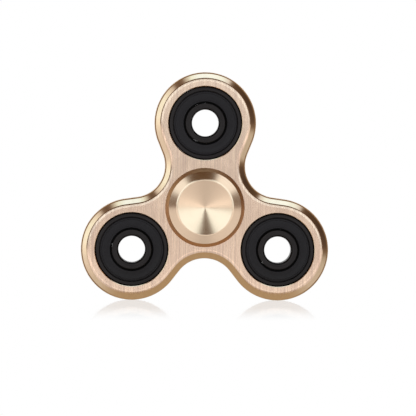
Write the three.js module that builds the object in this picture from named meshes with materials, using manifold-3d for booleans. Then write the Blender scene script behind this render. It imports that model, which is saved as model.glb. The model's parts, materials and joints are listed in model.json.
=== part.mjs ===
// Tri-lobe fidget spinner, in millimetres with +Z up. An aluminium body turns on a ball bearing
// that is clamped between two finger caps, and carries three more bearings in its lobes as weights.
// It stands on two lobes. Every axis of rotation runs along Y, and the front faces -Y.
// The origin is on the surface it stands on, straight below the hub, midway through the thickness.

import * as THREE from 'three';
import { mergeVertices } from 'three/addons/utils/BufferGeometryUtils.js';
import Module from 'manifold-3d';

const manifold = await Module();
manifold.setup();

// Body
const lobePitchRadius = 25.2;
const lobeRadius = 15.2;
const waistPitchRadius = 24.8; // of the centre of each hollow between two lobes
const waistRadius = 9.5;
const bodyThickness = 7.4;
const edgeChamfer = 1.85;
const boreClearance = 0.05;
const boreChamfer = 0.3;

// Bearing, size 608: 8 x 22 x 7
const bearingOuterRadius = 11;
const bearingBoreRadius = 4;
const bearingWidth = 7;
const outerRingChamfer = 0.4;
const innerRingChamfer = 0.45;
const outerShoulderRadius = 9.1;
const innerShoulderRadius = 5.95;

const ballCount = 7;
const ballRadius = 1.985;
const ballPitchRadius = 7.5;
const raceClearance = 0.1;

const sealSeatRadius = 9.65;
const sealSeatDepth = 0.9;
const sealThickness = 0.65;
const sealRecess = 0.2;
const sealRadius = 9.5;
const sealFaceInnerRadius = 6.45;
const sealLipRadius = 6.12;
const sealLipThickness = 0.3;

const cageInnerRadius = 6.65;
const cageOuterRadius = 8.35;
const cageBaseY = 2.45; // behind the balls
const cageRimY = -1.2; // in front of them, where the pockets are open
const pocketRadius = 2.22;

// Finger caps. Heights are measured outwards from the middle of the thickness.
const capDishRadius = 8;
const capDishCone = 0.98; // depth of the dish's cone
const capDishCurve = 0.28; // and of the bowl's curve added to it
const capLandRadius = 8.65;
const capSlopeRadius = 10.93;
const capRadius = 11.85;
const capTopHeight = 6;
const capSlopeHeight = 5.26;
const capRimHeight = 4.12;
const capRimBulge = 0.03;
const capUndersideHeight = 4;
const capShoulderRadius = 5.6;
const capShoulderHeight = 3.52;
const capStubRadius = 3.9;
const capStubHeight = 0.15;
const studRadius = 2;
const studLength = 3;
const studHoleRadius = 2.15;
const studHoleDepth = 3.3;

const bearingSegments = 24;
const cageSegments = 2 * ballCount;
const capSegments = 36;

const sixthTurn = Math.PI / 3;
const lobeAngles = [1.5, 3.5, 5.5].map((sixths) => sixths * sixthTurn);
const hubHeight = lobePitchRadius * Math.cos(sixthTurn) + lobeRadius;

const metal = { metalness: 1 };
const materials = {
  body: new THREE.MeshStandardMaterial({ ...metal, color: '#d3baa4', roughness: 0.35 }),
  cap: new THREE.MeshStandardMaterial({ ...metal, color: '#d9bd9f', roughness: 0.25 }),
  ring: new THREE.MeshStandardMaterial({ ...metal, color: '#3a3633', roughness: 0.4 }),
  ball: new THREE.MeshStandardMaterial({ ...metal, color: '#c9cbcf', roughness: 0.1 }),
  seal: new THREE.MeshStandardMaterial({ color: '#29262a', roughness: 0.6 }),
  cage: new THREE.MeshStandardMaterial({ color: '#e8e2d2', roughness: 0.5 }),
};

const polar = (radius, angle) => new THREE.Vector2(radius * Math.cos(angle), radius * Math.sin(angle));

function arc(centre, radius, from, to, steps) {
  const angleAt = (i) => from + ((to - from) * i) / steps;
  return Array.from({ length: steps + 1 }, (_, i) => polar(radius, angleAt(i)).add(centre));
}

// Turns a profile of [radius, y] points about Y. One that leaves the axis closes on itself.
function revolve(profile, segments) {
  const points = profile.map(([radius, y]) => new THREE.Vector2(radius, y));
  if (THREE.ShapeUtils.isClockWise(points)) points.reverse();
  if (points[0].x > 0) points.push(points[0].clone());
  return new THREE.LatheGeometry(points, segments);
}

function toSolid(geometry) {
  geometry.deleteAttribute('normal');
  geometry.deleteAttribute('uv');
  const merged = mergeVertices(geometry);
  const corners = Array.from(merged.index.array);
  const triVerts = [];
  for (let i = 0; i < corners.length; i += 3) {
    const triangle = corners.slice(i, i + 3);
    if (new Set(triangle).size === 3) triVerts.push(...triangle);
  }
  return new manifold.Manifold(
    new manifold.Mesh({
      numProp: 3,
      vertProperties: merged.attributes.position.array,
      triVerts: new Uint32Array(triVerts),
    }),
  );
}

function toGeometry(solid) {
  const mesh = solid.getMesh();
  const geometry = new THREE.BufferGeometry();
  geometry.setAttribute('position', new THREE.BufferAttribute(mesh.vertProperties, 3));
  geometry.setIndex(new THREE.BufferAttribute(mesh.triVerts, 1));
  geometry.computeVertexNormals();
  return geometry;
}

// Each lobe's arc runs tangent into a short straight neck, which runs tangent into the waist's arc.
// The lobe's arc has a corner straight below, straight above and to each side.
function bodyOutline() {
  const toWaist = polar(waistPitchRadius, sixthTurn).sub(polar(lobePitchRadius, 0));
  const splay = Math.acos((lobeRadius + waistRadius) / toWaist.length());
  const reach = toWaist.angle() - splay;
  return lobeAngles.flatMap((angle) => {
    const lobe = polar(lobePitchRadius, angle);
    const waist = polar(waistPitchRadius, angle + sixthTurn);
    return [
      ...arc(lobe, lobeRadius, angle - reach, angle - sixthTurn, 5).slice(0, -1),
      ...arc(lobe, lobeRadius, angle - sixthTurn, angle + sixthTurn, 12).slice(0, -1),
      ...arc(lobe, lobeRadius, angle + sixthTurn, angle + reach, 5),
      ...arc(waist, waistRadius, angle + reach + Math.PI, angle + 5 * sixthTurn - reach, 10),
    ];
  });
}

// The bore's cutter widens past both faces, which leaves its edges chamfered.
function boreCutter() {
  const radius = bearingOuterRadius + boreClearance;
  const outside = bodyThickness / 2 + boreChamfer;
  const inside = bodyThickness / 2 - boreChamfer;
  const profile = [
    [0, -outside],
    [radius + 2 * boreChamfer, -outside],
    [radius, -inside],
    [radius, inside],
    [radius + 2 * boreChamfer, outside],
    [0, outside],
  ];
  return toSolid(revolve(profile, bearingSegments));
}

function bodyGeometry() {
  const depth = bodyThickness - 2 * edgeChamfer;
  const plate = new THREE.ExtrudeGeometry(new THREE.Shape(bodyOutline()), {
    depth,
    bevelThickness: edgeChamfer,
    bevelSize: edgeChamfer,
    bevelOffset: -edgeChamfer,
    bevelSegments: 1,
  });
  plate.translate(0, 0, -depth / 2);
  plate.rotateX(Math.PI / 2);
  const cutter = boreCutter();
  let body = toSolid(plate).subtract(cutter);
  for (const angle of lobeAngles) {
    const centre = polar(lobePitchRadius, angle);
    body = body.subtract(cutter.translate([centre.x, 0, centre.y]));
  }
  return toGeometry(body);
}

// The race's groove, from the side of +Y to the side of -Y, between two shoulders
function raceway(shoulderRadius, outward) {
  const grooveRadius = ballRadius + raceClearance;
  const reach = Math.acos(Math.abs(shoulderRadius - ballPitchRadius) / grooveRadius);
  return [1, 0.5, 0, -0.5, -1].map((share) => [
    ballPitchRadius + outward * grooveRadius * Math.cos(share * reach),
    grooveRadius * Math.sin(share * reach),
  ]);
}

function outerRingGeometry() {
  const face = bearingWidth / 2;
  const seat = face - sealSeatDepth;
  return revolve(
    [
      [bearingOuterRadius, -face + outerRingChamfer],
      [bearingOuterRadius, face - outerRingChamfer],
      [bearingOuterRadius - outerRingChamfer, face],
      [sealSeatRadius, face],
      [sealSeatRadius, seat],
      [outerShoulderRadius, seat],
      ...raceway(outerShoulderRadius, 1),
      [outerShoulderRadius, -seat],
      [sealSeatRadius, -seat],
      [sealSeatRadius, -face],
      [bearingOuterRadius - outerRingChamfer, -face],
    ],
    bearingSegments,
  );
}

function innerRingGeometry() {
  const face = bearingWidth / 2;
  return revolve(
    [
      [bearingBoreRadius, -face + innerRingChamfer],
      [bearingBoreRadius, face - innerRingChamfer],
      [bearingBoreRadius + innerRingChamfer, face],
      [innerShoulderRadius, face],
      ...raceway(innerShoulderRadius, -1),
      [innerShoulderRadius, -face],
      [bearingBoreRadius + innerRingChamfer, -face],
    ],
    bearingSegments,
  );
}

// A rubber shield with a thin lip at its inner edge. side is -1 at the front and 1 at the rear.
function sealGeometry(side) {
  const face = bearingWidth / 2 - sealRecess;
  const back = face - sealThickness;
  const profile = [
    [sealLipRadius, back],
    [sealRadius, back],
    [sealRadius, face],
    [sealFaceInnerRadius, face],
    [sealFaceInnerRadius, back + sealLipThickness],
    [sealLipRadius, back + sealLipThickness],
  ];
  return revolve(profile.map(([radius, height]) => [radius, side * height]), bearingSegments);
}

const ballAngle = (i) => (2 * Math.PI * i) / ballCount;

// A crown: a ring whose seven round pockets open towards the front, so that it snaps over the balls
function cageGeometry() {
  let cage = toSolid(
    revolve(
      [
        [cageInnerRadius, cageRimY],
        [cageOuterRadius, cageRimY],
        [cageOuterRadius, cageBaseY],
        [cageInnerRadius, cageBaseY],
      ],
      cageSegments,
    ),
  );
  const pocket = toSolid(new THREE.IcosahedronGeometry(pocketRadius, 1));
  for (let i = 0; i < ballCount; i += 1) {
    const centre = polar(ballPitchRadius, ballAngle(i));
    cage = cage.subtract(pocket.translate([centre.x, 0, centre.y]));
  }
  return toGeometry(cage);
}

// The cap's outer skin: a shallow dish, a flat land, a sloping ring and a steep rim that bulges slightly
function capSkin() {
  const dish = [0, 0.25, 0.5, 0.75].map((share) => [
    share * capDishRadius,
    capTopHeight - capDishCone * (1 - share) - capDishCurve * (1 - share * share),
  ]);
  return [
    ...dish,
    [capDishRadius, capTopHeight],
    [capLandRadius, capTopHeight],
    [capSlopeRadius, capSlopeHeight],
    [(capSlopeRadius + capRadius) / 2 + capRimBulge, (capSlopeHeight + capRimHeight) / 2 + capRimBulge],
    [capRadius, capRimHeight],
    [capRadius - (capRimHeight - capUndersideHeight), capUndersideHeight],
    [capShoulderRadius, capUndersideHeight],
    [capShoulderRadius, capShoulderHeight],
    [capStubRadius, capShoulderHeight],
    [capStubRadius, capStubHeight],
  ];
}

// The front cap ends in a stud, and the rear cap is tapped for it.
function frontCapGeometry() {
  const profile = [
    ...capSkin(),
    [studRadius, capStubHeight],
    [studRadius, capStubHeight - studLength],
    [0, capStubHeight - studLength],
  ];
  return revolve(profile.map(([radius, height]) => [radius, -height]), capSegments);
}

function rearCapGeometry() {
  const profile = [
    ...capSkin(),
    [studHoleRadius, capStubHeight],
    [studHoleRadius, capStubHeight + studHoleDepth],
    [0, capStubHeight + studHoleDepth],
  ];
  return revolve(profile, capSegments);
}

function addPiece(group, name, geometry, material, place = [0, 0]) {
  const mesh = new THREE.Mesh(geometry, material);
  mesh.name = name;
  mesh.position.set(place[0], 0, place[1]);
  group.add(mesh);
}

const bearingPieces = [
  ['outer_ring', outerRingGeometry(), materials.ring],
  ['inner_ring', innerRingGeometry(), materials.ring],
  ['cage', cageGeometry(), materials.cage],
  ['front_seal', sealGeometry(-1), materials.seal],
  ['rear_seal', sealGeometry(1), materials.seal],
];
const ballGeometry = new THREE.IcosahedronGeometry(ballRadius, 1);

function bearingAt(label, centre) {
  const group = new THREE.Group();
  group.position.set(centre.x, 0, centre.y);
  for (const [piece, geometry, material] of bearingPieces) {
    addPiece(group, `${label}_${piece}`, geometry, material);
  }
  for (let i = 0; i < ballCount; i += 1) {
    const place = polar(ballPitchRadius, ballAngle(i)).toArray();
    addPiece(group, `${label}_ball_${i + 1}`, ballGeometry, materials.ball, place);
  }
  return group;
}

const hub = new THREE.Group();
hub.position.z = hubHeight;
addPiece(hub, 'spinner_body', bodyGeometry(), materials.body);
addPiece(hub, 'front_cap', frontCapGeometry(), materials.cap);
addPiece(hub, 'rear_cap', rearCapGeometry(), materials.cap);
hub.add(bearingAt('centre', new THREE.Vector2(0, 0)));
lobeAngles.forEach((angle, i) => hub.add(bearingAt(`lobe_${i + 1}`, polar(lobePitchRadius, angle))));

const spinner = new THREE.Group();
spinner.add(hub);

export default spinner;
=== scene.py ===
# Tri-lobe fidget spinner in champagne-gold aluminium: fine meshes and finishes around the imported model.
# Millimetres in the dictionaries, metres on the objects. The spin axis is Y, and the front faces -Y.

import json
import math

import bpy
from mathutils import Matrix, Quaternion, Vector
from mathutils.geometry import tessellate_polygon

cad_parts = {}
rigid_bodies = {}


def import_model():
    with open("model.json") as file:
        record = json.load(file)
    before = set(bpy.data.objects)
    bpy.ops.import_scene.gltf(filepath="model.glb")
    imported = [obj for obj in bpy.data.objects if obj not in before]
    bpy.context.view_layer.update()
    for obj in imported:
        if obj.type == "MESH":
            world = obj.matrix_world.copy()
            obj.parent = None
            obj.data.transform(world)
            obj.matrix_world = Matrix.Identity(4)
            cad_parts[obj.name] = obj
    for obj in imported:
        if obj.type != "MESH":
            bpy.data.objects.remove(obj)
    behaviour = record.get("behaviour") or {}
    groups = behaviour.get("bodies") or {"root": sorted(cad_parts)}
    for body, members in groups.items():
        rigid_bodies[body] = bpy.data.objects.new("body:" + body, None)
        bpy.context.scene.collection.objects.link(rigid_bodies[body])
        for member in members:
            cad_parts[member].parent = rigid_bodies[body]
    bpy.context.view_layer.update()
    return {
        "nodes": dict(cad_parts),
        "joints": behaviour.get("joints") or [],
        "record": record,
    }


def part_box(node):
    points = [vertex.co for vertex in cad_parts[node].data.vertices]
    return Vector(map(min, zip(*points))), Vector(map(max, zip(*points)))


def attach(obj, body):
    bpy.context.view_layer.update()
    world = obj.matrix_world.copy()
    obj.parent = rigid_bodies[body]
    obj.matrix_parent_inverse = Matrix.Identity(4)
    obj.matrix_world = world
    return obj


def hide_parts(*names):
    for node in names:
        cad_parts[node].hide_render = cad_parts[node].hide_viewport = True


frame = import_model()
mm = 0.001
print("frame loaded,", len(frame["nodes"]), "nodes")

scene = bpy.context.scene
scene.view_settings.view_transform = "Standard"

bodyOfNode = {
    node: body for body, nodes in frame["record"]["behaviour"]["bodies"].items() for node in nodes
}
jointPlace = {joint["name"]: Vector(joint["pos_m"]) for joint in frame["joints"]}
bearingPlace = {"centre": jointPlace["rotor_spin"]}
for label in ("lobe_1", "lobe_2", "lobe_3"):
    bearingPlace[label] = jointPlace[label + "_ring_spin"]
hub = bearingPlace["centre"]


# A profile is a list of points in mm: (radius, height along Y, normal out, normal along Y, finish).
# It comes from corners (radius, height, fillet, finish of the stretch after it), given anticlockwise.
# A fillet is shared half and half by the finishes it joins. A corner without one is a soft point on a
# curve, such as a race.
def roundedProfile(corners, closed=True, filletSteps=4):
    profile = []
    count = len(corners)
    for i, (radius, height, fillet, finish) in enumerate(corners):
        here = Vector((radius, height))
        before = Vector(corners[i - 1][:2]) if closed or i > 0 else None
        after = Vector(corners[(i + 1) % count][:2]) if closed or i < count - 1 else None
        arriving = (here - before).normalized() if before else (after - here).normalized()
        leaving = (after - here).normalized() if after else arriving
        turn = math.atan2(arriving.cross(leaving), arriving.dot(leaving))
        arriveNormal = Vector((arriving.y, -arriving.x))
        if fillet == 0 or abs(turn) < 1e-4:
            mean = (arriveNormal + Vector((leaving.y, -leaving.x))).normalized()
            profile.append((here.x, here.y, mean.x, mean.y, finish))
            continue
        side = math.copysign(fillet, turn)
        centre = here - arriving * abs(side) * math.tan(abs(turn) / 2) - arriveNormal * side
        startAngle = math.atan2(arriveNormal.y, arriveNormal.x)
        for step in range(filletSteps + 1):
            angle = startAngle + turn * step / filletSteps
            normal = Vector((math.cos(angle), math.sin(angle)))
            point = centre + normal * side
            shared = corners[i - 1][3] if step < filletSteps // 2 else finish
            profile.append((point.x, point.y, normal.x, normal.y, shared))
    return profile


# The same corners taken from the other end, where each stretch keeps its finish
def walkedBack(corners):
    back = corners[::-1]
    finishes = [corner[3] for corner in back[1:]] + [back[0][3]]
    return [(*corner[:3], finish) for corner, finish in zip(back, finishes)]


# The same corners on the other side of the middle of the thickness, which turns their order round
def mirrored(corners):
    return [(radius, -height, fillet, finish) for radius, height, fillet, finish in corners]


def smoothMesh(name, verts, faces, normals, finishes, materials):
    mesh = bpy.data.meshes.new(name)
    mesh.from_pydata([Vector(v) * mm for v in verts], [], faces)
    for material in materials:
        mesh.materials.append(material)
    mesh.polygons.foreach_set("material_index", finishes)
    mesh.shade_smooth()
    mesh.normals_split_custom_set_from_vertices(normals)
    mesh.validate()
    return mesh


def addSpunRows(verts, normals, profile, segments, centre=(0, 0)):
    rows = []
    for radius, height, out, along, finish in profile:
        if radius < 1e-6:
            rows.append([len(verts)] * segments)
            verts.append((centre[0], height, centre[1]))
            normals.append((0, math.copysign(1, along), 0))
            continue
        rows.append([len(verts) + k for k in range(segments)])
        for k in range(segments):
            c = math.cos(2 * math.pi * k / segments)
            s = math.sin(2 * math.pi * k / segments)
            verts.append((centre[0] + radius * c, height, centre[1] + radius * s))
            normals.append((out * c, along, out * s))
    return rows


def addStrips(faces, finishes, rows, profile, closed):
    count = len(rows)
    for i in range(count if closed else count - 1):
        here, after = rows[i], rows[(i + 1) % count]
        for k in range(len(here)):
            j = (k + 1) % len(here)
            corners = list(dict.fromkeys((here[k], after[k], after[j], here[j])))
            if len(corners) > 2:
                faces.append(corners)
                finishes.append(profile[i][4])


def spunMesh(name, corners, materials, segments=180, closed=True, filletSteps=4):
    profile = roundedProfile(corners, closed, filletSteps)
    verts, faces, normals, finishes = [], [], [], []
    rows = addSpunRows(verts, normals, profile, segments)
    addStrips(faces, finishes, rows, profile, closed)
    return smoothMesh(name, verts, faces, normals, finishes, materials)


def addPiece(name, mesh, node, place):
    piece = bpy.data.objects.new(name, mesh)
    scene.collection.objects.link(piece)
    piece.location = place
    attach(piece, bodyOfNode[node])
    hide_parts(node)
    return piece


def addNode(tree, kind, settings=None, sockets=None):
    node = tree.nodes.new(kind)
    for key, value in (settings or {}).items():
        setattr(node, key, value)
    for key, value in (sockets or {}).items():
        if isinstance(value, bpy.types.NodeSocket):
            tree.links.new(value, node.inputs[key])
        else:
            node.inputs[key].default_value = value
    return node


def maths(tree, operation, a, b=0.0):
    return addNode(tree, "ShaderNodeMath", {"operation": operation}, {0: a, 1: b}).outputs[0]


def rise(tree, value, low, high, start=0.0, end=1.0):
    # a smooth step from start to end as value goes from low to high
    sockets = {"Value": value, "From Min": low, "From Max": high, "To Min": start, "To Max": end}
    return addNode(tree, "ShaderNodeMapRange", {"interpolation_type": "SMOOTHSTEP"}, sockets).outputs[0]


def mixColour(tree, factor, a, b):
    # each end is a socket, or (red, green, blue)
    ends = [end if isinstance(end, bpy.types.NodeSocket) else (*end, 1) for end in (a, b)]
    sockets = {"Factor": factor, 6: ends[0], 7: ends[1]}
    return addNode(tree, "ShaderNodeMix", {"data_type": "RGBA"}, sockets).outputs[2]


def scaled(tree, vector, scale):
    node = addNode(tree, "ShaderNodeVectorMath", {"operation": "SCALE"}, {0: vector, "Scale": scale})
    return node.outputs[0]


def colourRamp(tree, value, stops):
    ramp = addNode(tree, "ShaderNodeValToRGB", None, {"Fac": value})
    elements = ramp.color_ramp.elements
    while len(elements) < len(stops):
        elements.new(0.5)
    for element, stop in zip(elements, stops):
        element.position = stop[0]
    for element, stop in zip(elements, stops):
        element.color = (*stop[1], 1)
    return ramp.outputs[0]


def newGroup(name, inputs, outputs):
    tree = bpy.data.node_groups.new(name, "ShaderNodeTree")
    for socketName, kind, value in inputs:
        socket = tree.interface.new_socket(name=socketName, in_out="INPUT", socket_type=kind)
        if value is not None:
            socket.default_value = value
    for socketName, kind in outputs:
        tree.interface.new_socket(name=socketName, in_out="OUTPUT", socket_type=kind)
    return tree, tree.nodes.new("NodeGroupInput").outputs, tree.nodes.new("NodeGroupOutput").inputs


def useGroup(tree, group, sockets):
    return addNode(tree, "ShaderNodeGroup", {"node_tree": group}, sockets).outputs


floatSocket, vectorSocket = "NodeSocketFloat", "NodeSocketVector"
vectorInput, vectorOutput = ("Vector", vectorSocket, None), ("Vector", vectorSocket)


# Position in mm, as it is, for straight brushing along Z
def makeStraightPlace():
    tree, inputs, outputs = newGroup("straightPlace", [vectorInput], [vectorOutput])
    tree.links.new(scaled(tree, inputs["Vector"], 1 / mm), outputs["Vector"])
    return tree


# Radius plus height in mm, then the cosine and sine of the angle round the Y axis, for a lathe's marks
def makeTurnedPlace():
    tree, inputs, outputs = newGroup("turnedPlace", [vectorInput], [vectorOutput])
    split = addNode(tree, "ShaderNodeSeparateXYZ", None, {0: inputs["Vector"]}).outputs
    squares = maths(tree, "ADD", maths(tree, "POWER", split[0], 2), maths(tree, "POWER", split[2], 2))
    radius = maths(tree, "MAXIMUM", maths(tree, "SQRT", squares), 1e-7)
    joined = addNode(tree, "ShaderNodeCombineXYZ", None, {
        0: maths(tree, "ADD", maths(tree, "DIVIDE", radius, mm), maths(tree, "DIVIDE", split[1], mm)),
        1: maths(tree, "DIVIDE", split[0], radius),
        2: maths(tree, "DIVIDE", split[2], radius),
    })
    tree.links.new(joined.outputs[0], outputs["Vector"])
    return tree


# Fine lines left by a brush or a lathe: close together across X, long along Y and Z
def makeToolLines():
    tree, inputs, outputs = newGroup(
        "toolLines",
        [vectorInput, ("Across", floatSocket, 3.0), ("Along", floatSocket, 0.1)],
        [("Lines", floatSocket), ("Broad", floatSocket)],
    )
    for lines, spacing, seed in (("Lines", 1.0, 0.0), ("Broad", 0.31, 41.0)):
        across = maths(tree, "MULTIPLY", inputs["Across"], spacing)
        along = maths(tree, "MULTIPLY", inputs["Along"], spacing)
        scale = addNode(tree, "ShaderNodeCombineXYZ", None, {0: across, 1: along, 2: along}).outputs[0]
        stretched = addNode(tree, "ShaderNodeVectorMath", {"operation": "MULTIPLY_ADD"},
                            {0: inputs["Vector"], 1: scale, 2: (seed, seed, seed)}).outputs[0]
        noise = addNode(tree, "ShaderNodeTexNoise", None,
                        {"Vector": stretched, "Scale": 1.0, "Detail": 2.0, "Roughness": 0.6})
        tree.links.new(rise(tree, noise.outputs[0], 0.3, 0.7), outputs[lines])
    return tree


# Soft smudges from fingers, and a few hair scratches
def makeHandling():
    tree, inputs, outputs = newGroup(
        "handling",
        [vectorInput, ("Size", floatSocket, 6.0)],
        [("Smudge", floatSocket), ("Scratch", floatSocket)],
    )
    place = scaled(tree, inputs["Vector"], maths(tree, "DIVIDE", 1 / mm, inputs["Size"]))
    cloud = addNode(tree, "ShaderNodeTexNoise", None,
                    {"Vector": place, "Scale": 1.0, "Detail": 3.0, "Roughness": 0.55, "Distortion": 0.6})
    tree.links.new(rise(tree, cloud.outputs[0], 0.42, 0.68), outputs["Smudge"])
    cells = addNode(tree, "ShaderNodeTexVoronoi", {"feature": "DISTANCE_TO_EDGE"},
                    {"Vector": place, "Scale": 0.8, "Randomness": 1.0})
    hairline = rise(tree, cells.outputs[0], 0.0, 0.012, 1.0, 0.0)
    kept = maths(tree, "MULTIPLY", hairline, rise(tree, cloud.outputs[0], 0.55, 0.62))
    tree.links.new(kept, outputs["Scratch"])
    return tree


# Mottling and fine specks on the black parts
def makeSpecks():
    tree, inputs, outputs = newGroup(
        "specks",
        [vectorInput, ("Size", floatSocket, 0.5)],
        [("Mottle", floatSocket), ("Dust", floatSocket)],
    )
    place = scaled(tree, inputs["Vector"], maths(tree, "DIVIDE", 1 / mm, inputs["Size"]))
    mottle = addNode(tree, "ShaderNodeTexNoise", None, {"Vector": place, "Scale": 0.5, "Detail": 4.0})
    tree.links.new(mottle.outputs[0], outputs["Mottle"])
    cells = addNode(tree, "ShaderNodeTexVoronoi", None, {"Vector": place, "Scale": 0.9})
    dots = rise(tree, cells.outputs["Distance"], 0.08, 0.16, 1.0, 0.0)
    chosen = rise(tree, mottle.outputs[0], 0.56, 0.6)
    tree.links.new(maths(tree, "MULTIPLY", dots, chosen), outputs["Dust"])
    return tree


straightPlace = makeStraightPlace()
turnedPlace = makeTurnedPlace()
toolLines = makeToolLines()
handling = makeHandling()
specks = makeSpecks()


# light and dark are the colours of the tool lines' tops and bottoms, and roughness is in the same order.
# across and along say how finely the marks vary across the lines and along them, and depth is in mm.
metalFinishes = {
    # the body's flat faces, brushed up and down
    "brushedGold": {
        "light": (0.955, 0.705, 0.54), "dark": (0.65, 0.462, 0.372), "roughness": (0.20, 0.25),
        "turned": False, "across": 3.4, "along": 0.09, "bump": 0.25, "depth": 0.004,
        "anisotropic": 0.9, "rotation": 0.0, "smudge": 0.04,
    },
    # its chamfers and the edges of its bores
    "polishedGold": {
        "light": (0.82, 0.615, 0.44), "dark": (0.78, 0.58, 0.41), "roughness": (0.07, 0.10),
        "turned": False, "across": 1.2, "along": 0.6, "bump": 0.02, "depth": 0.002,
        "anisotropic": 0.0, "rotation": 0.0, "smudge": 0.03,
    },
    # its outer wall and its bores, left by the mill
    "milledGold": {
        "light": (0.80, 0.60, 0.43), "dark": (0.70, 0.51, 0.36), "roughness": (0.22, 0.30),
        "turned": False, "across": 0.12, "along": 1.6, "bump": 0.15, "depth": 0.003,
        "anisotropic": 0.0, "rotation": 0.0, "smudge": 0.05,
    },
    # the finger caps, faced on a lathe
    "turnedGold": {
        "light": (0.805, 0.605, 0.450), "dark": (0.792, 0.594, 0.440), "roughness": (0.17, 0.185),
        "turned": True, "across": 9.0, "along": 0.5, "bump": 0.012, "depth": 0.001,
        "anisotropic": 0.3, "rotation": 0.25, "smudge": 0.02,
    },
    # the caps' rims: painted shade, the caps' own gold made darker and browner to stand in for the dim light
    # the rims catch
    "rimShadedGold": {
        "light": (0.60, 0.335, 0.175), "dark": (0.55, 0.30, 0.155), "roughness": (0.42, 0.48),
        "turned": True, "across": 5.0, "along": 0.5, "bump": 0.05, "depth": 0.002,
        "anisotropic": 0.0, "rotation": 0.0, "smudge": 0.03,
    },
    # the bearings' rings, ground and blackened
    "blackSteel": {
        "light": (0.034, 0.030, 0.030), "dark": (0.024, 0.021, 0.022), "roughness": (0.30, 0.42),
        "turned": True, "across": 6.0, "along": 0.7, "bump": 0.15, "depth": 0.003,
        "anisotropic": 0.4, "rotation": 0.25, "smudge": 0.08,
    },
    # the races, lapped bright
    "raceSteel": {
        "light": (0.62, 0.61, 0.60), "dark": (0.52, 0.51, 0.50), "roughness": (0.10, 0.16),
        "turned": True, "across": 8.0, "along": 0.4, "bump": 0.05, "depth": 0.002,
        "anisotropic": 0.3, "rotation": 0.25, "smudge": 0.04,
    },
    "ballSteel": {
        "light": (0.66, 0.66, 0.67), "dark": (0.60, 0.60, 0.61), "roughness": (0.03, 0.05),
        "turned": False, "across": 2.0, "along": 2.0, "bump": 0.01, "depth": 0.001,
        "anisotropic": 0.0, "rotation": 0.0, "smudge": 0.04,
    },
}
broadShare = 0.3    # how much of a metal's colour follows the broad lines, not the fine ones


def makeMetal(name, finish):
    material = bpy.data.materials.new(name)
    material.use_nodes = True
    tree = material.node_tree
    shader = tree.nodes["Principled BSDF"]
    shader.inputs["Metallic"].default_value = 1.0
    shader.inputs["Anisotropic"].default_value = finish["anisotropic"]
    shader.inputs["Anisotropic Rotation"].default_value = finish["rotation"]
    spot = addNode(tree, "ShaderNodeTexCoord").outputs["Object"]
    place = useGroup(tree, turnedPlace if finish["turned"] else straightPlace, {"Vector": spot})["Vector"]
    spacing = {"Across": finish["across"], "Along": finish["along"]}
    lines = useGroup(tree, toolLines, {"Vector": place, **spacing})
    marks = useGroup(tree, handling, {"Vector": spot})
    shade = addNode(tree, "ShaderNodeMix", None, {"Factor": broadShare, 2: lines["Lines"], 3: lines["Broad"]})
    colour = mixColour(tree, shade.outputs[0], finish["dark"], finish["light"])
    tree.links.new(colour, shader.inputs["Base Color"])
    low, high = finish["roughness"]
    rough = rise(tree, lines["Lines"], 0.0, 1.0, high, low)
    smudged = maths(tree, "MULTIPLY", marks["Smudge"], finish["smudge"])
    scratched = maths(tree, "MULTIPLY", marks["Scratch"], finish["smudge"])
    total = maths(tree, "ADD", rough, maths(tree, "ADD", smudged, scratched))
    tree.links.new(total, shader.inputs["Roughness"])
    bump = addNode(tree, "ShaderNodeBump", None,
                   {"Strength": finish["bump"], "Distance": finish["depth"] * mm, "Height": lines["Lines"]})
    tree.links.new(bump.outputs[0], shader.inputs["Normal"])
    if finish["anisotropic"]:
        direction = {"direction_type": "UV_MAP"}
        if finish["turned"]:
            direction = {"direction_type": "RADIAL", "axis": "Y"}
        tangent = addNode(tree, "ShaderNodeTangent", direction)
        tree.links.new(tangent.outputs[0], shader.inputs["Tangent"])
    return material


mouldedFinishes = {
    "sealRubber": {
        "light": (0.0175, 0.0155, 0.0195), "dark": (0.0115, 0.010, 0.0135), "roughness": (0.42, 0.55),
        "gloss": 0.22, "speckSize": 0.5, "dust": 0.1, "bump": 0.4, "depth": 0.02,
    },
    # painted shade: the seals' lips, given a near-black, dull rubber that stands in for the shade of the
    # groove beside the inner rings
    "lipShadeRubber": {
        "light": (0.004, 0.004, 0.004), "dark": (0.003, 0.003, 0.003), "roughness": (0.70, 0.80),
        "gloss": 0.05, "speckSize": 0.5, "dust": 0.0, "bump": 0.4, "depth": 0.02,
    },
    "cageNylon": {
        "light": (0.74, 0.70, 0.60), "dark": (0.66, 0.61, 0.50), "roughness": (0.38, 0.48),
        "gloss": 0.2, "speckSize": 0.8, "dust": 0.0, "bump": 0.4, "depth": 0.02,
    },
}
mouldFlow = {"Across": 2.0, "Along": 0.8}    # the faint rings that a mould leaves
dustColour = (0.30, 0.28, 0.26)


def makeMoulded(name, finish):
    material = bpy.data.materials.new(name)
    material.use_nodes = True
    tree = material.node_tree
    shader = tree.nodes["Principled BSDF"]
    shader.inputs["Specular IOR Level"].default_value = finish["gloss"]
    spot = addNode(tree, "ShaderNodeTexCoord").outputs["Object"]
    grain = useGroup(tree, specks, {"Vector": spot, "Size": finish["speckSize"]})
    place = useGroup(tree, turnedPlace, {"Vector": spot})["Vector"]
    flow = useGroup(tree, toolLines, {"Vector": place, **mouldFlow})
    plain = mixColour(tree, grain["Mottle"], finish["dark"], finish["light"])
    dusty = mixColour(tree, maths(tree, "MULTIPLY", grain["Dust"], finish["dust"]), plain, dustColour)
    tree.links.new(dusty, shader.inputs["Base Color"])
    rough = rise(tree, flow["Broad"], 0.0, 1.0, *finish["roughness"])
    tree.links.new(rough, shader.inputs["Roughness"])
    height = maths(tree, "ADD", grain["Mottle"], maths(tree, "MULTIPLY", flow["Lines"], 0.5))
    bump = addNode(tree, "ShaderNodeBump", None,
                   {"Strength": finish["bump"], "Distance": finish["depth"] * mm, "Height": height})
    tree.links.new(bump.outputs[0], shader.inputs["Normal"])
    return material


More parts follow.
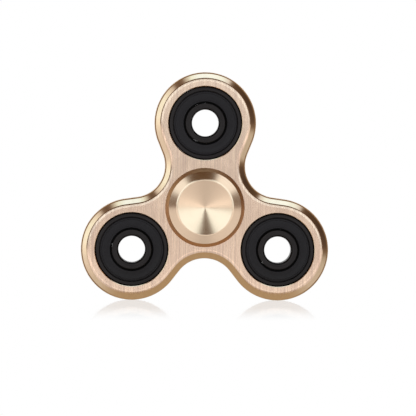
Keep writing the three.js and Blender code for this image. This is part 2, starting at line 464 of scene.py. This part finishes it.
metals = {name: makeMetal(name, finish) for name, finish in metalFinishes.items()}
moulded = {name: makeMoulded(name, finish) for name, finish in mouldedFinishes.items()}
print("finishes made")


body = {
    "waistRadius": 9.5,         # of each hollow between two lobes
    "waistPitchRadius": 24.8,   # of that hollow's centre from the hub
    "chamfer": 1.85,
    "chamferFillet": 0.8,       # where it meets the flat face
    "easeWidth": 0.65,          # the flat face eases off a little before its edge
    "easeDrop": 0.08,
    "easeFillet": 4.0,
    "wallFillet": 1.8,          # where it meets the outer wall
    "boreClearance": 0.02,
    "boreChamfer": 0.15,
    "boreFillet": 0.05,
    "lobeSteps": 120,
    "waistSteps": 60,
    "boreSegments": 144,
    "outlineFilletSteps": 8,
    "mapWidth": 80.0,           # of the flat map that gives the brushing its direction
}


def outlineSamples(pitchRadius, lobeRadius):
    # (anchor, direction, radius, side): a point moved out by d is at anchor + direction * (radius + side * d)
    sixth = math.pi / 3
    toWaist = Vector((body["waistPitchRadius"] * math.cos(sixth) - pitchRadius,
                      body["waistPitchRadius"] * math.sin(sixth)))
    splay = math.acos((lobeRadius + body["waistRadius"]) / toWaist.length)
    reach = math.atan2(toWaist.y, toWaist.x) - splay
    samples = []
    for lobe in range(3):
        arm = math.pi / 2 + lobe * 2 * sixth
        stretches = (
            (pitchRadius, arm, lobeRadius, 1, arm - reach, arm + reach, body["lobeSteps"]),
            (body["waistPitchRadius"], arm + sixth, body["waistRadius"], -1,
             arm + reach + math.pi, arm + 5 * sixth - reach, body["waistSteps"]),
        )
        for pitch, heading, radius, side, start, end, steps in stretches:
            anchor = Vector((pitch * math.cos(heading), pitch * math.sin(heading)))
            for step in range(steps + 1):
                angle = start + (end - start) * step / steps
                samples.append((anchor, Vector((math.cos(angle), math.sin(angle))), radius, side))
    return samples


def makeBodyMesh():
    low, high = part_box("spinner_body")
    half = (high.y - low.y) / 2 / mm
    pitchRadius = (bearingPlace["lobe_1"] - hub).length / mm
    lobeRadius = (high.z - hub.z) / mm - pitchRadius
    ringLow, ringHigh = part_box("lobe_1_outer_ring")
    boreRadius = (ringHigh.x - ringLow.x) / 2 / mm + body["boreClearance"]
    chamfer = body["chamfer"]
    flat, polished, milled = 0, 1, 2
    verts, faces, normals, finishes = [], [], [], []

    # round the outside: the front edge of the wall, then the rear one
    ease, drop = chamfer + body["easeWidth"], body["easeDrop"]
    run = [
        (-2 * ease, -half, 0, flat),
        (-ease, -half, body["easeFillet"], flat),
        (-chamfer, -half + drop, body["chamferFillet"], polished),
        (0, -half + chamfer, body["wallFillet"], milled),
        (0, half - chamfer, body["wallFillet"], polished),
        (-chamfer, half - drop, body["chamferFillet"], flat),
        (-ease, half, body["easeFillet"], flat),
        (-2 * ease, half, 0, flat),
    ]
    profile = roundedProfile(run, closed=False, filletSteps=body["outlineFilletSteps"])[1:-1]
    samples = outlineSamples(pitchRadius, lobeRadius)
    rows = []
    for offset, height, out, along, finish in profile:
        rows.append([len(verts) + k for k in range(len(samples))])
        for anchor, direction, radius, side in samples:
            point = anchor + direction * (radius + side * offset)
            verts.append((point.x, height, point.y))
            normals.append((side * out * direction.x, along, side * out * direction.y))
    addStrips(faces, finishes, rows, profile, closed=False)
    rims = {-1: [rows[0]], 1: [rows[-1]]}

    # each bore, from the rear face to the front
    edge = body["boreChamfer"]
    run = [
        (boreRadius + 2 * edge, half, 0, flat),
        (boreRadius + edge, half, body["boreFillet"], polished),
        (boreRadius, half - edge, body["boreFillet"], milled),
        (boreRadius, -half + edge, body["boreFillet"], polished),
        (boreRadius + edge, -half, body["boreFillet"], flat),
        (boreRadius + 2 * edge, -half, 0, flat),
    ]
    profile = roundedProfile(run, closed=False)[1:-1]
    for place in bearingPlace.values():
        centre = ((place.x - hub.x) / mm, (place.z - hub.z) / mm)
        rows = addSpunRows(verts, normals, profile, body["boreSegments"], centre)
        addStrips(faces, finishes, rows, profile, closed=False)
        rims[1].append(rows[0])
        rims[-1].append(rows[-1])

    # both flat faces, between the outline and the bores
    for side, loops in rims.items():
        points = [[Vector((verts[i][0], verts[i][2], 0)) for i in loop] for loop in loops]
        indices = [i for loop in loops for i in loop]
        for triangle in tessellate_polygon(points):
            a, b, c = (indices[i] for i in triangle)
            ab = Vector(verts[b]) - Vector(verts[a])
            ac = Vector(verts[c]) - Vector(verts[a])
            faces.append((a, b, c) if ab.cross(ac).y * side > 0 else (a, c, b))
            finishes.append(flat)

    materials = [metals["brushedGold"], metals["polishedGold"], metals["milledGold"]]
    mesh = smoothMesh("bodyMesh", verts, faces, normals, finishes, materials)
    layer = mesh.uv_layers.new(name="frontView")
    for loop in mesh.loops:
        spot = mesh.vertices[loop.vertex_index].co / mm
        layer.data[loop.index].uv = (spot.x / body["mapWidth"] + 0.5, spot.z / body["mapWidth"] + 0.5)
    return mesh


addPiece("machinedBody", makeBodyMesh(), "spinner_body", hub)
print("body made")


bearing = {
    "outerRadius": 11.0, "boreRadius": 4.0, "half": 3.5,
    "outerChamfer": 0.40, "innerChamfer": 0.45, "seatChamfer": 0.12, "shoulderChamfer": 0.15,
    "edge": 0.05, "fineEdge": 0.03,    # fillets
    "seatRadius": 9.65, "seatDepth": 0.90, "outerShoulder": 9.1, "innerShoulder": 5.95,
    "ballRadius": 1.985, "pitchRadius": 7.5, "raceGap": 0.03, "raceSteps": 14,
    "sealRecess": 0.20, "sealThickness": 0.65, "sealRadius": 9.46, "sealFace": 6.45,
    "sealBevel": (0.18, 0.12), "sealBead": (0.15, 0.40, 0.55), "sealBeadHeight": 0.05,
    "lipRadius": 5.98, "lipThickness": 0.28, "lipSlope": (0.03, 0.10, 0.08),
    "sealGroove": 8.95, "sealGrooveHalf": (0.05, 0.14), "sealGrooveDepth": 0.07,
    "cageInner": 6.65, "cageOuter": 8.35, "cageFront": -1.2, "cageRear": 2.45, "cageEdge": 0.15,
    "pocketRadius": 2.12, "cageSharp": 35.0,    # degrees
    "balls": 7, "ballSteps": 40, "ballSegments": 72, "cageSegments": 168,
}


def raceCorners(shoulder, outward, finish):
    # the race's arc, met from the shoulder that comes first in an anticlockwise profile
    grooveRadius = bearing["ballRadius"] + bearing["raceGap"]
    reach = math.acos(abs(shoulder - bearing["pitchRadius"]) / grooveRadius)
    steps = bearing["raceSteps"]
    corners = []
    for step in range(steps + 1):
        angle = reach * (1 - 2 * step / steps)
        radius = bearing["pitchRadius"] + outward * grooveRadius * math.cos(angle)
        corners.append((radius, outward * grooveRadius * math.sin(angle), 0, finish))
    return corners


def makeOuterRing():
    outer, half, chamfer = bearing["outerRadius"], bearing["half"], bearing["outerChamfer"]
    seat, shoulder = bearing["seatRadius"], bearing["outerShoulder"]
    edge, fineEdge, relief = bearing["edge"], bearing["fineEdge"], bearing["seatChamfer"]
    floorHeight = half - bearing["seatDepth"]
    black, bright = 0, 1
    corners = [
        (outer, -half + chamfer, edge, black),
        (outer, half - chamfer, edge, black),
        (outer - chamfer, half, edge, black),
        (seat + relief, half, fineEdge, black),
        (seat, half - relief, fineEdge, black),
        (seat, floorHeight, edge, black),
        (shoulder, floorHeight, edge, bright),
        *raceCorners(shoulder, 1, bright),
        (shoulder, -floorHeight, edge, black),
        (seat, -floorHeight, edge, black),
        (seat, -half + relief, fineEdge, black),
        (seat + relief, -half, fineEdge, black),
        (outer - chamfer, -half, edge, black),
    ]
    return spunMesh("outerRingMesh", corners, [metals["blackSteel"], metals["raceSteel"]])


def makeInnerRing():
    bore, half, chamfer = bearing["boreRadius"], bearing["half"], bearing["innerChamfer"]
    shoulder, relief = bearing["innerShoulder"], bearing["shoulderChamfer"]
    edge, fineEdge = bearing["edge"], bearing["fineEdge"]
    black, bright = 0, 1
    corners = [
        (bore, -half + chamfer, edge, black),
        (bore + chamfer, -half, edge, black),
        (shoulder - relief, -half, fineEdge, black),
        (shoulder, -half + relief, fineEdge, black),
        *raceCorners(shoulder, -1, bright),
        (shoulder, half - relief, fineEdge, black),
        (shoulder - relief, half, fineEdge, black),
        (bore + chamfer, half, edge, black),
        (bore, half - chamfer, edge, black),
    ]
    return spunMesh("innerRingMesh", corners, [metals["blackSteel"], metals["raceSteel"]])


def makeSeal(side):
    # side is -1 at the front and 1 at the rear
    face = bearing["half"] - bearing["sealRecess"]
    back = face - bearing["sealThickness"]
    lip = back + bearing["lipThickness"]
    radius, inner, groove = bearing["sealRadius"], bearing["sealFace"], bearing["sealGroove"]
    bevelWidth, bevelDepth = bearing["sealBevel"]
    grooveFloor, grooveMouth = bearing["sealGrooveHalf"]
    grooveHeight = face - bearing["sealGrooveDepth"]
    beadInner, beadOuter, beadFoot = bearing["sealBead"]
    beadHeight = face + bearing["sealBeadHeight"]
    slopeWidth, slopeTop, slopeFoot = bearing["lipSlope"]
    edge, fineEdge = bearing["edge"], bearing["fineEdge"]
    # the lips' slot holds near-black rubber, painted shade for the groove beside the inner ring
    rubber, shadedLip = 0, 1
    corners = [
        (bearing["lipRadius"], back, 0.04, rubber),
        (radius, back, edge, rubber),
        (radius, face - bevelDepth, 0.10, rubber),
        (radius - bevelWidth, face, 0.08, rubber),
        (groove + grooveMouth, face, fineEdge, rubber),
        (groove + grooveFloor, grooveHeight, fineEdge, rubber),
        (groove - grooveFloor, grooveHeight, fineEdge, rubber),
        (groove - grooveMouth, face, fineEdge, rubber),
        (inner + beadFoot, face, edge, rubber),
        (inner + beadOuter, beadHeight, edge, rubber),
        (inner + beadInner, beadHeight, 0.06, rubber),
        (inner, face - slopeTop, edge, shadedLip),
        (inner - slopeWidth, lip + slopeFoot, 0.06, shadedLip),
        (bearing["lipRadius"], lip, 0.06, shadedLip),
    ]
    if side < 0:
        corners = walkedBack(mirrored(corners))
    return spunMesh("sealMesh", corners, [moulded["sealRubber"], moulded["lipShadeRubber"]])


def makeBall():
    # a half circle from pole to pole
    steps = bearing["ballSteps"]
    corners = []
    for step in range(steps + 1):
        angle = -math.pi / 2 + math.pi * step / steps
        radius = bearing["ballRadius"] * math.cos(angle) if 0 < step < steps else 0.0
        corners.append((radius, bearing["ballRadius"] * math.sin(angle), 0, 0))
    segments = bearing["ballSegments"]
    return spunMesh("ballMesh", corners, [metals["ballSteel"]], segments=segments, closed=False)


# a crown cage: a ring whose pockets are cut by balls a little larger than the real ones
def makeCage():
    inner, outer = bearing["cageInner"], bearing["cageOuter"]
    front, rear = bearing["cageFront"], bearing["cageRear"]
    section = ((inner, front), (outer, front), (outer, rear), (inner, rear))
    corners = [(radius, height, bearing["cageEdge"], 0) for radius, height in section]
    blank = spunMesh("cageBlankMesh", corners, [moulded["cageNylon"]], segments=bearing["cageSegments"])
    ring = bpy.data.objects.new("cageBlank", blank)
    pocket = makeBall()
    scale = bearing["pocketRadius"] / bearing["ballRadius"]
    pockets = bpy.data.collections.new("cagePockets")
    scene.collection.objects.link(ring)
    scene.collection.children.link(pockets)
    for i in range(bearing["balls"]):
        ball = bpy.data.objects.new("pocket", pocket)
        ball.location = ballPlace(i)
        ball.scale = (scale, scale, scale)
        pockets.objects.link(ball)
    cut = ring.modifiers.new("pockets", "BOOLEAN")
    cut.operand_type = "COLLECTION"
    cut.collection = pockets
    cut.solver = "EXACT"
    bpy.context.view_layer.update()
    mesh = bpy.data.meshes.new_from_object(ring.evaluated_get(bpy.context.evaluated_depsgraph_get()))
    for ball in list(pockets.objects):
        bpy.data.objects.remove(ball)
    bpy.data.collections.remove(pockets)
    bpy.data.objects.remove(ring)
    mesh.shade_smooth()
    mesh.set_sharp_from_angle(angle=math.radians(bearing["cageSharp"]))
    return mesh


def ballPlace(i):
    angle = 2 * math.pi * i / bearing["balls"]
    return Vector((math.cos(angle), 0, math.sin(angle))) * bearing["pitchRadius"] * mm


bearingMeshes = {
    "outer_ring": (makeOuterRing(), "ring_steel"),
    "inner_ring": (makeInnerRing(), "ring_steel"),
    "cage": (makeCage(), "cage_nylon"),
    "front_seal": (makeSeal(-1), "seal_rubber"),
    "rear_seal": (makeSeal(1), "seal_rubber"),
}
ballMesh = makeBall()
for label, place in bearingPlace.items():
    for part, (mesh, slotName) in bearingMeshes.items():
        node = f"{label}_{part}"
        addPiece("fine_" + node, mesh, node, place)
    for i in range(bearing["balls"]):
        node = f"{label}_ball_{i + 1}"
        addPiece("fine_" + node, ballMesh, node, place + ballPlace(i))
print("bearings made")


cap = {
    "dishRadius": 8.1, "dishCone": 0.98, "dishCurve": 0.28, "dishSteps": 36,
    "dishEdge": 0.45, "dishPip": 0.30,
    "landRadius": 8.45, "landEdge": 1.90,
    "slopeRadius": 10.80, "slopeHeight": 5.23, "slopeEdge": 0.06,
    "radius": 11.85, "rimHeight": 3.97, "rimTurn": 3.0, "rimSteps": 8,
    "underside": 3.87, "undersideInset": 0.12, "rimEdge": 0.04,
    "shoulderRadius": 5.6, "shoulderHeight": 3.52,
    "stubRadius": 3.96, "stubHeight": 0.15,
    "studRadius": 2.0, "studLength": 3.0, "studTipEdge": 0.25,
    "studHoleRadius": 2.15, "studHoleDepth": 3.3, "studEdge": 0.08,
    "segments": 240,
}


def capCorners(topHeight):
    # from the middle of the dish outwards, in heights above the middle of the thickness
    turned, rim = 0, 1
    corners = []
    for step in range(cap["dishSteps"]):
        share = step / cap["dishSteps"]
        soft = math.hypot(share, cap["dishPip"] / cap["dishRadius"])
        height = topHeight - cap["dishCone"] * (1 - soft) - cap["dishCurve"] * (1 - share ** 2)
        corners.append((share * cap["dishRadius"], height, 0, turned))
    corners += [
        (cap["dishRadius"], topHeight, cap["dishEdge"], turned),
        (cap["landRadius"], topHeight, cap["landEdge"], turned),
        (cap["slopeRadius"], cap["slopeHeight"], cap["slopeEdge"], rim),
    ]
    # the rim bulges along an arc that turns by rimTurn degrees
    start = Vector((cap["slopeRadius"], cap["slopeHeight"]))
    chord = Vector((cap["radius"], cap["rimHeight"])) - start
    halfTurn = math.radians(cap["rimTurn"] / 2)
    out = Vector((-chord.y, chord.x)) / 2
    for step in range(1, cap["rimSteps"]):
        share = step / cap["rimSteps"]
        bulge = 4 * share * (1 - share) * math.tan(halfTurn / 2)
        point = start + chord * share + out * bulge
        corners.append((point.x, point.y, 0, rim))
    corners += [
        (cap["radius"], cap["rimHeight"], cap["rimEdge"], rim),
        (cap["radius"] - cap["undersideInset"], cap["underside"], cap["rimEdge"], rim),
        (cap["shoulderRadius"], cap["underside"], 0.10, turned),
        (cap["shoulderRadius"], cap["shoulderHeight"], 0.06, turned),
        (cap["stubRadius"], cap["shoulderHeight"], 0.04, turned),
        (cap["stubRadius"], cap["stubHeight"], 0.12, turned),
    ]
    return corners


def makeCap(side):
    # side is -1 for the front cap, which has the stud, and 1 for the rear cap, which has the hole
    low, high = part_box("front_cap" if side < 0 else "rear_cap")
    topHeight = max(abs(low.y), abs(high.y)) / mm
    corners = capCorners(topHeight)
    foot, edge = cap["stubHeight"], cap["studEdge"]
    if side < 0:
        radius, tip = cap["studRadius"], foot - cap["studLength"]
        corners += [(radius, foot, edge, 0), (radius, tip, cap["studTipEdge"], 0), (0, tip, 0, 0)]
        corners = mirrored(corners)
    else:
        radius, tip = cap["studHoleRadius"], foot + cap["studHoleDepth"]
        corners += [(radius, foot, edge, 0), (radius, tip, edge, 0), (0, tip, 0, 0)]
        corners = walkedBack(corners)
    # the rims get a darker, browner copy of the caps' gold: painted shade
    materials = [metals["turnedGold"], metals["rimShadedGold"]]
    return spunMesh("capMesh", corners, materials, segments=cap["segments"], closed=False)


addPiece("turnedFrontCap", makeCap(-1), "front_cap", hub)
addPiece("turnedRearCap", makeCap(1), "rear_cap", hub)
print("caps made")


# A heading is in degrees, with 90 straight up. Spread, across, upward and drop are slopes away from the
# way to the lens: any way, to either side, up and down. A pair whose name ends in Spread, Width, Drop, Top
# or Foot says where something starts to change and where it has changed.
studio = {
    # two softboxes above the lens, with a dark gap between them
    "gap": (90.5, 95.5),          # heading of the gap's middle near the lens and further out
    "gapHalf": (17.0, 29.5),      # half its width in degrees, likewise
    "gapSpread": (0.3, 0.75),
    "boxStart": (-5.0, 25.5),     # degrees above level where each softbox starts, likewise
    "boxStartSpread": (0.38, 0.75),
    "boxEndSpread": (0.95, 1.25),
    "boxSoft": 5.0,               # degrees
    "boxColour": (1.36, 1.60, 1.66),
    "boxOuterColour": (1.22, 1.30, 1.32),
    "boxOuterSpread": (0.42, 0.72),
    "gloom": (0.12, 0.065, 0.025),
    "sideWall": (0.20, 0.14, 0.10),
    "sideWallStart": (40.0, 70.0),       # degrees from the vertical
    "nearColour": (1.12, 1.15, 1.16),    # right round the lens
    "nearSpread": (0.10, 0.17),
    # a dark slit at the height of the lens
    "slitColour": (0.22, 0.215, 0.21),
    "slitFoot": (-0.05, -0.035),
    "slitTop": (0.0, 0.015),
    "slitWidth": (0.12, 0.24),
    # the table
    "tableColour": (1.0, 0.985, 0.95),
    "tableShine": (0.69, 0.88),          # in the middle and to each side
    "tableWidth": (0.0, 0.35),
    "underShine": 0.24,                  # added just under the lens
    "underDrop": (0.0, 0.3),
    "underWidth": (0.45, 0.65),
    "stripShine": 0.40,                  # added in a narrow strip lower down
    "stripTop": (0.03, 0.05),
    "stripFoot": (0.12, 0.22),
    "stripWidth": (0.25, 0.45),
    "farTable": (0.70, 0.66, 0.60),
    "farSpread": (1.0, 4.0),
    "tableEdge": (-0.045, -0.01),        # where the table gives way to what is above it
    # behind the spinner
    "rearWall": (0.27, 0.19, 0.11),
    "rearBox": (1.0, 1.0, 1.0),
    "rearWidth": (0.85, 0.95),
    "rearTop": (0.75, 0.85),
    "rearFoot": (-0.55, -0.45),
    "sideBand": (0.10, 0.17),            # how near to sideways the colours below take over
}

# what a polished edge sees sideways, by its heading in degrees: 0 is right, 90 is up and 180 is left
sideColours = (
    (-180, (1.20, 1.27, 1.22)), (-174, (1.10, 1.13, 1.08)),     # the left sheet ends just below level
    (-168, (0.95, 0.96, 0.93)), (-155, (0.90, 0.87, 0.84)),
    (-140, (0.74, 0.72, 0.66)), (-40, (0.71, 0.69, 0.65)),      # the table
    (-18, (0.67, 0.66, 0.60)), (-12, (0.60, 0.57, 0.51)),
    (-5, (0.24, 0.18, 0.13)), (2, (0.13, 0.09, 0.065)),         # the dark right wall
    (25, (0.08, 0.055, 0.04)), (45, (0.105, 0.07, 0.045)), (52, (0.14, 0.095, 0.065)),
    (55.5, (0.28, 0.23, 0.19)), (60, (0.95, 1.05, 1.15)),       # the top light
    (67, (1.15, 1.45, 1.60)), (80, (1.22, 1.58, 1.85)), (98, (1.18, 1.54, 1.82)),
    (107, (1.12, 1.40, 1.45)), (112.5, (0.75, 0.80, 0.78)),
    (118, (0.26, 0.20, 0.16)), (123, (0.17, 0.12, 0.09)), (128, (0.24, 0.18, 0.14)),   # a dark gap
    (134.5, (0.90, 0.90, 0.88)), (141, (1.08, 1.15, 1.10)),     # the left sheet
    (152, (1.20, 1.38, 1.36)), (172, (1.23, 1.38, 1.37)), (180, (1.20, 1.27, 1.22)),
)


# two softboxes with a dark gap between them, which closes just above the lens
def makeSoftboxes(tree, x, z, spread):
    level = maths(tree, "MULTIPLY", maths(tree, "ARCTAN2", z, x), 180 / math.pi)
    gap = rise(tree, spread, *studio["gapSpread"], *studio["gap"])
    gapHalf = rise(tree, spread, *studio["gapSpread"], *studio["gapHalf"])
    fromGap = maths(tree, "ABSOLUTE", maths(tree, "SUBTRACT", level, gap))
    fromTop = maths(tree, "ABSOLUTE", maths(tree, "SUBTRACT", level, 90.0))
    start = rise(tree, spread, *studio["boxStartSpread"], *studio["boxStart"])
    soft = studio["boxSoft"]
    besideGap = rise(tree, maths(tree, "SUBTRACT", fromGap, gapHalf), -soft, soft)
    aboveStart = rise(tree, maths(tree, "ADD", fromTop, start), 90 - soft, 90 + soft, 1, 0)
    boxes = maths(tree, "MULTIPLY", besideGap, aboveStart)
    boxes = maths(tree, "MULTIPLY", boxes, rise(tree, spread, *studio["boxEndSpread"], 1, 0))
    wall = mixColour(tree, rise(tree, fromTop, *studio["sideWallStart"]), studio["gloom"], studio["sideWall"])
    outer = rise(tree, spread, *studio["boxOuterSpread"])
    lamp = mixColour(tree, outer, studio["boxColour"], studio["boxOuterColour"])
    near = rise(tree, spread, *studio["nearSpread"], 1, 0)
    return mixColour(tree, near, mixColour(tree, boxes, wall, lamp), studio["nearColour"])


def makeTableLight(tree, across, drop, spread):
    sides = rise(tree, across, *studio["tableWidth"], *studio["tableShine"])
    under = maths(tree, "MULTIPLY", rise(tree, drop, *studio["underDrop"], studio["underShine"], 0),
                  rise(tree, across, *studio["underWidth"], 1, 0))
    strip = maths(tree, "MULTIPLY", rise(tree, drop, *studio["stripTop"], 0, studio["stripShine"]),
                  rise(tree, drop, *studio["stripFoot"], 1, 0))
    strip = maths(tree, "MULTIPLY", strip, rise(tree, across, *studio["stripWidth"], 1, 0))
    shine = maths(tree, "ADD", maths(tree, "ADD", sides, under), strip)
    grey = addNode(tree, "ShaderNodeCombineColor", None, {0: shine, 1: shine, 2: shine}).outputs[0]
    table = addNode(tree, "ShaderNodeMix", {"data_type": "RGBA", "blend_type": "MULTIPLY"},
                    {"Factor": 1.0, 6: grey, 7: (*studio["tableColour"], 1)}).outputs[2]
    return mixColour(tree, rise(tree, spread, *studio["farSpread"]), table, studio["farTable"])


# one wide softbox in a brown room
def makeRearRoom(tree, across, upward):
    box = maths(tree, "MULTIPLY", rise(tree, across, *studio["rearWidth"], 1, 0),
                rise(tree, upward, *studio["rearTop"], 1, 0))
    box = maths(tree, "MULTIPLY", box, rise(tree, upward, *studio["rearFoot"]))
    return mixColour(tree, box, studio["rearWall"], studio["rearBox"])


def makeSideBand(tree, x, z):
    heading = maths(tree, "DIVIDE", maths(tree, "ARCTAN2", z, x), 2 * math.pi)
    stops = [((degrees + 180) / 360, colour) for degrees, colour in sideColours]
    return colourRamp(tree, maths(tree, "ADD", heading, 0.5), stops)


def makeStudioWorld():
    world = bpy.data.worlds.new("studioWorld")
    scene.world = world
    world.use_nodes = True
    tree = world.node_tree
    background = tree.nodes["Background"]
    direction = addNode(tree, "ShaderNodeTexCoord").outputs["Generated"]
    x, y, z = addNode(tree, "ShaderNodeSeparateXYZ", None, {0: direction}).outputs
    depth = maths(tree, "MAXIMUM", maths(tree, "ABSOLUTE", y), 0.001)
    across = maths(tree, "DIVIDE", maths(tree, "ABSOLUTE", x), depth)
    upward = maths(tree, "DIVIDE", z, depth)
    squares = maths(tree, "ADD", maths(tree, "POWER", across, 2), maths(tree, "POWER", upward, 2))
    spread = maths(tree, "SQRT", squares)

    above = makeSoftboxes(tree, x, z, spread)
    table = makeTableLight(tree, across, maths(tree, "ABSOLUTE", upward), spread)
    front = mixColour(tree, rise(tree, z, *studio["tableEdge"], 1, 0), above, table)
    slit = maths(tree, "MULTIPLY", rise(tree, upward, *studio["slitFoot"]),
                 rise(tree, upward, *studio["slitTop"], 1, 0))
    slit = maths(tree, "MULTIPLY", slit, rise(tree, across, *studio["slitWidth"], 1, 0))
    front = mixColour(tree, slit, front, studio["slitColour"])
    lit = mixColour(tree, rise(tree, y, -0.01, 0.01), front, makeRearRoom(tree, across, upward))
    band = rise(tree, depth, *studio["sideBand"], 1, 0)
    seen = mixColour(tree, band, lit, makeSideBand(tree, x, z))

    # behind everything, plain white paper for the camera
    isCamera = addNode(tree, "ShaderNodeLightPath").outputs["Is Camera Ray"]
    tree.links.new(mixColour(tree, isCamera, seen, (1, 1, 1)), background.inputs["Color"])


# places and sizes in mm, measured from under the middle of the spinner
glassTable = {
    "half": (1000.0, 1000.0), "height": 0.0,
    "shine": 0.40, "shineDepth": (36.0, 110.0),    # where the polish starts to fade and where it ends
    "shineStretch": 0.5,                           # the polish reaches twice as far to each side
    "roughness": 0.05, "ior": 1.45,
}
bounceCard = {
    "half": (45.0, 25.0), "height": -0.3,
    "colour": (0.50, 0.41, 0.28),
    "fadeAcross": (24.0, 38.0), "fadeDepth": (12.0, 22.0),
}


def addPane(name, pane, material):
    mesh = bpy.data.meshes.new(name)
    x, y = (half * mm for half in pane["half"])
    height = pane["height"] * mm
    mesh.from_pydata([(-x, -y, height), (x, -y, height), (x, y, height), (-x, y, height)], [], [(0, 1, 2, 3)])
    mesh.materials.append(material)
    placed = bpy.data.objects.new(name, mesh)
    scene.collection.objects.link(placed)
    return placed


# a clear pane, with share of another surface over it
def coverPane(tree, share, surface):
    clear = addNode(tree, "ShaderNodeBsdfTransparent").outputs[0]
    mixed = addNode(tree, "ShaderNodeMixShader", None, {0: share, 1: clear, 2: surface}).outputs[0]
    tree.links.new(mixed, tree.nodes["Material Output"].inputs["Surface"])


def startPane(name):
    material = bpy.data.materials.new(name)
    material.use_nodes = True
    tree = material.node_tree
    tree.nodes.remove(tree.nodes["Principled BSDF"])
    spot = addNode(tree, "ShaderNodeTexCoord").outputs["Object"]
    split = addNode(tree, "ShaderNodeSeparateXYZ", None, {0: spot}).outputs
    return material, tree, maths(tree, "ABSOLUTE", split[0]), maths(tree, "ABSOLUTE", split[1])


# a clear pane on white paper, polished near the spinner, so that it mirrors it faintly
def makeFloor():
    material, tree, x, y = startPane("paleGlass")
    nearer = maths(tree, "MULTIPLY", x, glassTable["shineStretch"])
    squares = maths(tree, "ADD", maths(tree, "POWER", nearer, 2), maths(tree, "POWER", y, 2))
    near, far = glassTable["shineDepth"]
    polish = rise(tree, maths(tree, "SQRT", squares), near * mm, far * mm, glassTable["shine"], 0)
    fresnel = addNode(tree, "ShaderNodeFresnel", None, {"IOR": glassTable["ior"]}).outputs[0]
    gloss = addNode(tree, "ShaderNodeBsdfGlossy", None,
                    {"Color": (1, 1, 1, 1), "Roughness": glassTable["roughness"]}).outputs[0]
    coverPane(tree, maths(tree, "MULTIPLY", polish, fresnel), gloss)
    addPane("glassTable", glassTable, material)


# the gold that the table throws back up at the lower chamfers, which the camera doesn't see
def makeBounce():
    material, tree, x, y = startPane("bounceCard")
    glow = addNode(tree, "ShaderNodeEmission", None, {"Color": (*bounceCard["colour"], 1), "Strength": 1.0})
    fades = []
    for distance, (near, far) in ((x, bounceCard["fadeAcross"]), (y, bounceCard["fadeDepth"])):
        fades.append(rise(tree, distance, near * mm, far * mm, 1, 0))
    coverPane(tree, maths(tree, "MULTIPLY", *fades), glow.outputs[0])
    addPane("bounceCard", bounceCard, material).visible_camera = False


makeStudioWorld()
makeFloor()
makeBounce()

camera = {
    "lens": 300.0,
    "clipEnd": 10.0,      # metres
    "distance": 1035.0,   # from the body's front face
    "azimuth": -1.1,      # degrees to the left of straight ahead
    "elevation": 1.5,
    "roll": 0.345,
    "right": 0.91,        # of the hub, where it aims
    "down": 0.14,
}


def makeCamera():
    data = bpy.data.cameras.new("camera")
    data.lens = camera["lens"]
    data.clip_end = camera["clipEnd"]
    placed = bpy.data.objects.new("camera", data)
    scene.collection.objects.link(placed)
    turn, climb = math.radians(camera["azimuth"]), math.radians(camera["elevation"])
    look = Vector((-math.sin(turn) * math.cos(climb), math.cos(turn) * math.cos(climb), -math.sin(climb)))
    aim = Vector((hub.x + camera["right"] * mm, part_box("spinner_body")[0].y, hub.z - camera["down"] * mm))
    placed.location = aim - look * camera["distance"] * mm
    roll = Quaternion((0, 0, 1), math.radians(camera["roll"]))
    placed.rotation_euler = (look.to_track_quat("-Z", "Y") @ roll).to_euler()
    scene.camera = placed


makeCamera()
print("studio made")
